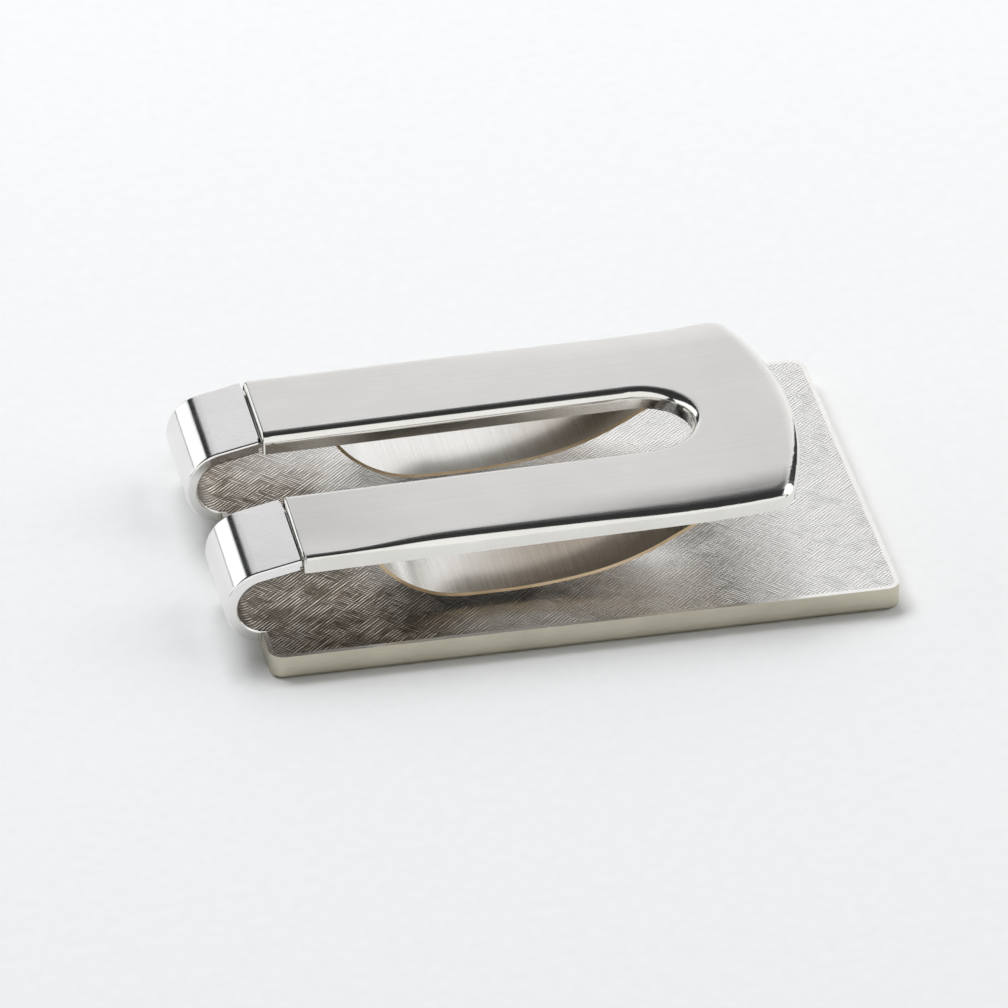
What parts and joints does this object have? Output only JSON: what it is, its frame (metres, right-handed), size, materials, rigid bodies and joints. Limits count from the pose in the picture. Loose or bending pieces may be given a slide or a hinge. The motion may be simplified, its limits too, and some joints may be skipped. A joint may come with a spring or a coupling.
{
  "type": "hinged money clip",
  "caption": "Pressed-metal money clip: an engraved plate in a shallow cover, a hinged U-shaped arm and a bowed leaf spring in each leg.",
  "frame": {"origin": "middle of the cover's flat outer face, which is the face the closed clip rests on", "axes": "+X from the hinge towards the arm's nose, +Y across the clip, +Z from the cover's outer face towards the arm"},
  "size_m": [0.0528, 0.035, 0.0098],
  "materials": {
    "cover_nickel": "satin nickel plate",
    "engraved_nickel": "fine engraved cross-hatch on nickel plate",
    "arm_nickel": "fine brushed nickel plate with polished bends",
    "spring_steel": "polished spring strip",
    "pin_steel": "plain, dressed flush"
  },
  "bodies": {
    "base": {"front_cover": "cover_nickel", "back_plate": "engraved_nickel"},
    "arm": {"clip_arm": "arm_nickel", "near_hinge_pin": "pin_steel", "far_hinge_pin": "pin_steel"},
    "near_leaf": {"near_leaf_spring": "spring_steel"},
    "far_leaf": {"far_leaf_spring": "spring_steel"}
  },
  "joints": [
    {"name": "arm_hinge", "type": "hinge", "parent": "base", "child": "arm", "pos_m": [-0.0208, 0, 0.0076], "axis": [0, -1, 0], "range_deg": [0, 25], "stiffness_Nm_per_rad": 0.02, "springref_deg": -28.65},
    {"name": "near_leaf_flex", "type": "slide", "parent": "arm", "child": "near_leaf", "axis": [0, 0, 1], "range_m": [0, 0.0025], "stiffness_N_per_m": 2000, "deforming": ["near_leaf_spring"]},
    {"name": "far_leaf_flex", "type": "slide", "parent": "arm", "child": "far_leaf", "axis": [0, 0, 1], "range_m": [0, 0.0025], "stiffness_N_per_m": 2000, "deforming": ["far_leaf_spring"]}
  ]
}
